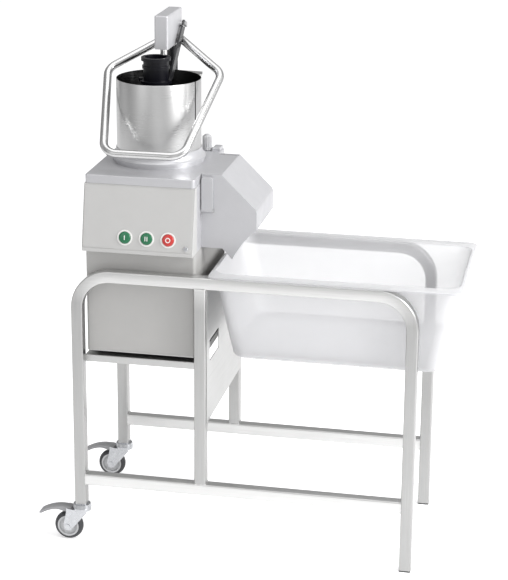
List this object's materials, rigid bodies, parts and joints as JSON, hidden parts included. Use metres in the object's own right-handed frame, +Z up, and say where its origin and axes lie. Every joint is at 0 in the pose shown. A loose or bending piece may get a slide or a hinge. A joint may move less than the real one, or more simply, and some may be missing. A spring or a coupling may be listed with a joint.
{
  "type": "vegetable cutting machine",
  "caption": "Floor-standing vegetable cutter on a wheeled tube stand, with a lever-worked pusher hopper, side chute and a container hung between the rails.",
  "frame": {"origin": "on the floor, at the middle of the whole object's footprint", "axes": "+Z up, +X from the machine to the container, -Y to the operator"},
  "size_m": [0.91, 0.392, 1.136],
  "materials": {
    "stand_steel": "satin brushed tube",
    "sheet_steel": "satin brushed sheet",
    "housing_paint": "matt warm grey paint",
    "casting": "fine cast surface, lightly polished",
    "hopper_steel": "brushed around its axis",
    "panel_film": "matt pale film",
    "console_paint": "matt pale grey paint",
    "pusher_plastic": "fine moulded black",
    "sleeve_black": "satin black",
    "green_button": "moulded green",
    "red_button": "moulded red",
    "bezel_plastic": "pale moulded ring",
    "screw_steel": "turned steel",
    "zinc_plate": "bright zinc plate",
    "wheel_plastic": "pale grey moulding",
    "pedal_plastic": "grey moulding",
    "tyre_rubber": "dark grey rubber",
    "cap_rubber": "black rubber",
    "tub_plastic": "translucent frosted white",
    "knob_plastic": "pale ribbed moulding",
    "blade_steel": "ground steel",
    "disc_alloy": "machined alloy",
    "ejector_plastic": "white moulding",
    "motor_paint": "dark motor enamel",
    "board_laminate": "circuit board laminate"
  },
  "bodies": {
    "stand": {"front_side_tube": "stand_steel", "rear_side_tube": "stand_steel", "front_low_rail": "stand_steel", "rear_low_rail": "stand_steel", "front_mid_post": "stand_steel", "rear_mid_post": "stand_steel", "machine_shelf": "sheet_steel", "splash_panel": "sheet_steel", "foot_caps": "cap_rubber", "caster_stems": "zinc_plate", "machine_feet": "cap_rubber", "bottom_plate": "sheet_steel", "motor_housing": "housing_paint", "cable_gland": "cap_rubber", "motor": "motor_paint", "motor_screws": "screw_steel", "shaft_seal": "cap_rubber", "cutting_bowl": "casting", "console_case": "console_paint", "front_panel": "panel_film", "button_bezels": "bezel_plastic", "panel_screw": "screw_steel", "control_board": "board_laminate", "hinge_bracket": "casting", "hinge_pin": "screw_steel", "latch_pin": "screw_steel"},
    "lid": {"lid": "casting", "hopper": "hopper_steel", "hopper_ring": "casting", "guide_sleeve": "sleeve_black", "hopper_bracket": "sheet_steel"},
    "lever": {"lever_block": "casting", "lift_column": "screw_steel", "lever_loop": "screw_steel", "pusher": "pusher_plastic", "pusher_rod": "screw_steel", "pusher_arm": "screw_steel", "arm_bolt": "screw_steel"},
    "knob": {"hinge_knob": "knob_plastic"},
    "latch": {"latch_strap": "screw_steel"},
    "cutter": {"drive_shaft": "screw_steel", "ejector": "ejector_plastic", "cutting_disc": "disc_alloy", "disc_blades": "blade_steel", "hub_nut": "screw_steel"},
    "start_button": {"start_button": "green_button"},
    "pulse_button": {"pulse_button": "green_button"},
    "stop_button": {"stop_button": "red_button"},
    "container": {"container": "tub_plastic"},
    "front_caster": {"front_caster_fork": "zinc_plate", "front_caster_axle": "zinc_plate"},
    "front_wheel": {"front_caster_hub": "wheel_plastic", "front_caster_tyre": "tyre_rubber"},
    "front_pedal": {"front_brake_pedal": "pedal_plastic"},
    "rear_caster": {"rear_caster_fork": "zinc_plate", "rear_caster_axle": "zinc_plate"},
    "rear_wheel": {"rear_caster_hub": "wheel_plastic", "rear_caster_tyre": "tyre_rubber"},
    "rear_pedal": {"rear_brake_pedal": "pedal_plastic"}
  },
  "joints": [
    {"name": "lid_tilt", "type": "hinge", "parent": "stand", "child": "lid", "pos_m": [-0.225, 0.143, 0.812], "axis": [-1, 0, 0], "range_deg": [0, 80]},
    {"name": "lever_lift", "type": "slide", "parent": "lid", "child": "lever", "axis": [0, 0, 1], "range_m": [0, 0.205]},
    {"name": "knob_turn", "type": "hinge", "parent": "lid", "child": "knob", "pos_m": [-0.14, 0.1045, 0.83], "axis": [0, 0, 1], "range_deg": [0, 360]},
    {"name": "latch_swing", "type": "hinge", "parent": "stand", "child": "latch", "pos_m": [-0.0915, -0.1074, 0.751], "axis": [1, 0, 0], "range_deg": [0, 60]},
    {"name": "disc_spin", "type": "hinge", "parent": "stand", "child": "cutter", "pos_m": [-0.223, 0.0035, 0.78], "axis": [0, 0, 1], "continuous": true},
    {"name": "start_press", "type": "slide", "parent": "stand", "child": "start_button", "axis": [0, 0.9787, -0.2051], "range_m": [0, 0.003], "stiffness_N_per_m": 400},
    {"name": "pulse_press", "type": "slide", "parent": "stand", "child": "pulse_button", "axis": [0, 0.9787, -0.2051], "range_m": [0, 0.003], "stiffness_N_per_m": 400},
    {"name": "stop_press", "type": "slide", "parent": "stand", "child": "stop_button", "axis": [0, 0.9787, -0.2051], "range_m": [0, 0.003], "stiffness_N_per_m": 400},
    {"name": "container_slide", "type": "slide", "parent": "stand", "child": "container", "axis": [1, 0, 0], "range_m": [0, 0.3]},
    {"name": "front_caster_swivel", "type": "hinge", "parent": "stand", "child": "front_caster", "pos_m": [-0.3585, -0.175, 0.08], "axis": [0, 0, 1], "continuous": true},
    {"name": "front_wheel_roll", "type": "hinge", "parent": "front_caster", "child": "front_wheel", "pos_m": [-0.3885, -0.175, 0.032], "axis": [0, 1, 0], "continuous": true},
    {"name": "front_pedal_press", "type": "hinge", "parent": "front_caster", "child": "front_pedal", "pos_m": [-0.385, -0.175, 0.0701], "axis": [0, -1, 0], "range_deg": [0, 10]},
    {"name": "rear_caster_swivel", "type": "hinge", "parent": "stand", "child": "rear_caster", "pos_m": [-0.3585, 0.175, 0.08], "axis": [0, 0, 1], "continuous": true},
    {"name": "rear_wheel_roll", "type": "hinge", "parent": "rear_caster", "child": "rear_wheel", "pos_m": [-0.3885, 0.175, 0.032], "axis": [0, 1, 0], "continuous": true},
    {"name": "rear_pedal_press", "type": "hinge", "parent": "rear_caster", "child": "rear_pedal", "pos_m": [-0.385, 0.175, 0.0701], "axis": [0, -1, 0], "range_deg": [0, 10]}
  ]
}
